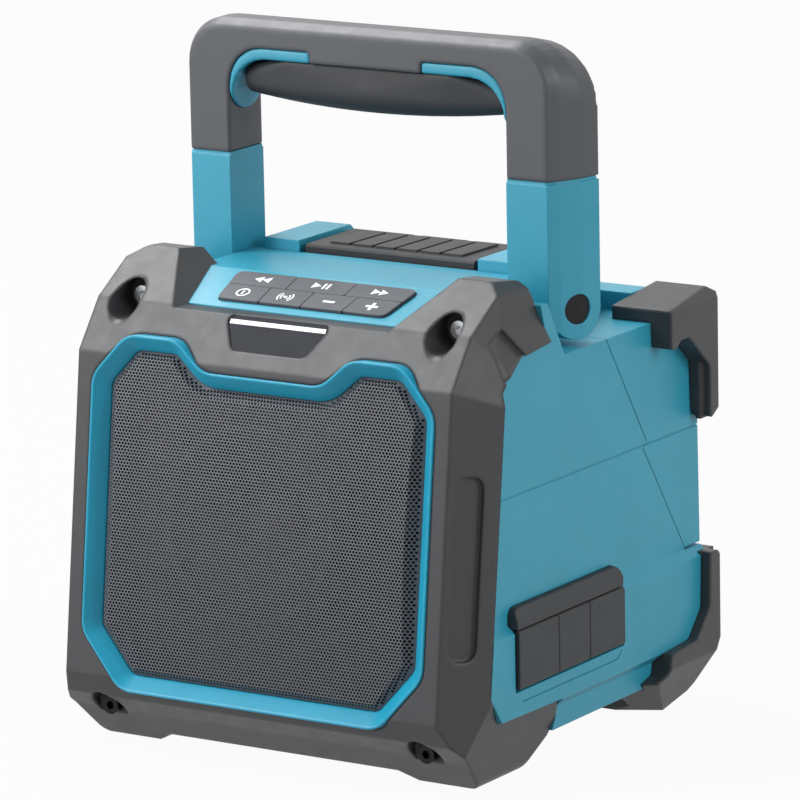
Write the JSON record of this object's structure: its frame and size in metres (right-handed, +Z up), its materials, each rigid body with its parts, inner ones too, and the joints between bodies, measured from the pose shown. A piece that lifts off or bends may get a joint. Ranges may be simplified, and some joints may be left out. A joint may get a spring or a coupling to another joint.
{
  "type": "portable job-site loudspeaker",
  "caption": "Rugged portable bluetooth loudspeaker with a folding carry handle, rubber corner bumpers, a perforated grille, top keys, side socket flaps and a rear battery cover.",
  "frame": {"origin": "on the ground under the middle of the bounding box", "axes": "+X to the right as seen from the front, +Y from the front grille to the rear, +Z up"},
  "size_m": [0.223, 0.2124, 0.306],
  "materials": {
    "teal_shell": "satin moulded plastic",
    "bumper": "fine-grained elastomer",
    "handle_dark": "fine-grained moulding",
    "soft_grip": "soft matt",
    "button_rubber": "soft matt",
    "flap_rubber": "soft matt",
    "black_plastic": "matt",
    "grille_steel": "black powder coat",
    "indicator_window": "polished",
    "indicator_light": "diffuse light pipe",
    "steel": "plated",
    "magnet": "coated ferrite and steel",
    "copper": "wound wire",
    "cone_paper": "pressed fibre",
    "board": "solder mask"
  },
  "bodies": {
    "housing": {"main_housing": "teal_shell", "front_bumper": "bumper", "front_screws": "steel", "grille_bezel": "teal_shell", "speaker_grille": "grille_steel", "baffle": "black_plastic", "woofer_basket": "black_plastic", "woofer_surround": "flap_rubber", "woofer_magnet": "magnet", "woofer_screws": "steel", "tweeter_frame": "black_plastic", "tweeter_dome": "cone_paper", "led_window": "indicator_window", "led_light_bar": "indicator_light", "control_panel": "teal_shell", "button_board": "board", "key_switches": "black_plastic", "pivot_bolts": "steel", "pivot_washers": "black_plastic", "cover_hinge_pin": "steel", "rear_bumper_left": "bumper", "rear_bumper_right": "bumper", "rear_bumper_screws": "steel", "battery_rails": "black_plastic", "battery_terminals": "black_plastic", "main_board": "board", "board_components": "black_plastic", "port_spine": "flap_rubber", "charge_jack": "black_plastic", "aux_jack": "black_plastic", "usb_port": "steel", "port_board": "board"},
    "handle": {"handle_leg_left": "teal_shell", "handle_leg_right": "teal_shell", "handle_shell": "handle_dark", "handle_grip": "soft_grip", "handle_trim_left": "teal_shell", "handle_trim_right": "teal_shell", "pivot_caps": "black_plastic"},
    "cover": {"battery_cover": "teal_shell", "cover_bumper_left": "bumper", "cover_bumper_right": "bumper", "latch_pin": "steel"},
    "latch": {"cover_latch": "handle_dark"},
    "charge_flap": {"flap_charge": "flap_rubber"},
    "aux_flap": {"flap_aux": "flap_rubber"},
    "usb_flap": {"flap_usb": "flap_rubber"},
    "cone": {"woofer_cone": "cone_paper", "voice_coil": "copper"},
    "power_key": {"button_power": "button_rubber"},
    "pairing_key": {"button_pairing": "button_rubber"},
    "minus_key": {"button_minus": "button_rubber"},
    "plus_key": {"button_plus": "button_rubber"},
    "previous_key": {"button_previous": "button_rubber"},
    "play_key": {"button_play": "button_rubber"},
    "next_key": {"button_next": "button_rubber"}
  },
  "joints": [
    {"name": "handle_fold", "type": "hinge", "parent": "housing", "child": "handle", "pos_m": [0, 0.00785, 0.191], "axis": [-1, 0, 0], "range_deg": [0, 81]},
    {"name": "cover_open", "type": "hinge", "parent": "housing", "child": "cover", "pos_m": [0, 0.1009, 0.071], "axis": [1, 0, 0], "range_deg": [-90, 0]},
    {"name": "latch_lift", "type": "hinge", "parent": "cover", "child": "latch", "pos_m": [0, 0.0474, 0.2038], "axis": [-1, 0, 0], "range_deg": [0, 35]},
    {"name": "charge_flap_open", "type": "hinge", "parent": "housing", "child": "charge_flap", "pos_m": [0.1066, -0.0445, 0.0652], "axis": [0, -1, 0], "range_deg": [0, 95]},
    {"name": "aux_flap_open", "type": "hinge", "parent": "housing", "child": "aux_flap", "pos_m": [0.1066, -0.01575, 0.0652], "axis": [0, -1, 0], "range_deg": [0, 95]},
    {"name": "usb_flap_open", "type": "hinge", "parent": "housing", "child": "usb_flap", "pos_m": [0.1066, 0.01175, 0.0652], "axis": [0, -1, 0], "range_deg": [0, 95]},
    {"name": "power_press", "type": "slide", "parent": "housing", "child": "power_key", "axis": [0, 0.3117, -0.9502], "range_m": [0, 0.001], "stiffness_N_per_m": 800},
    {"name": "pairing_press", "type": "slide", "parent": "housing", "child": "pairing_key", "axis": [0, 0.3117, -0.9502], "range_m": [0, 0.001], "stiffness_N_per_m": 800},
    {"name": "minus_press", "type": "slide", "parent": "housing", "child": "minus_key", "axis": [0, 0.3117, -0.9502], "range_m": [0, 0.001], "stiffness_N_per_m": 800},
    {"name": "plus_press", "type": "slide", "parent": "housing", "child": "plus_key", "axis": [0, 0.3117, -0.9502], "range_m": [0, 0.001], "stiffness_N_per_m": 800},
    {"name": "previous_press", "type": "slide", "parent": "housing", "child": "previous_key", "axis": [0, 0.3117, -0.9502], "range_m": [0, 0.001], "stiffness_N_per_m": 800},
    {"name": "play_press", "type": "slide", "parent": "housing", "child": "play_key", "axis": [0, 0.3117, -0.9502], "range_m": [0, 0.001], "stiffness_N_per_m": 800},
    {"name": "next_press", "type": "slide", "parent": "housing", "child": "next_key", "axis": [0, 0.3117, -0.9502], "range_m": [0, 0.001], "stiffness_N_per_m": 800},
    {"name": "cone_stroke", "type": "slide", "parent": "housing", "child": "cone", "axis": [0, -0.9925, 0.1219], "range_m": [-0.002, 0.002], "stiffness_N_per_m": 1500}
  ]
}
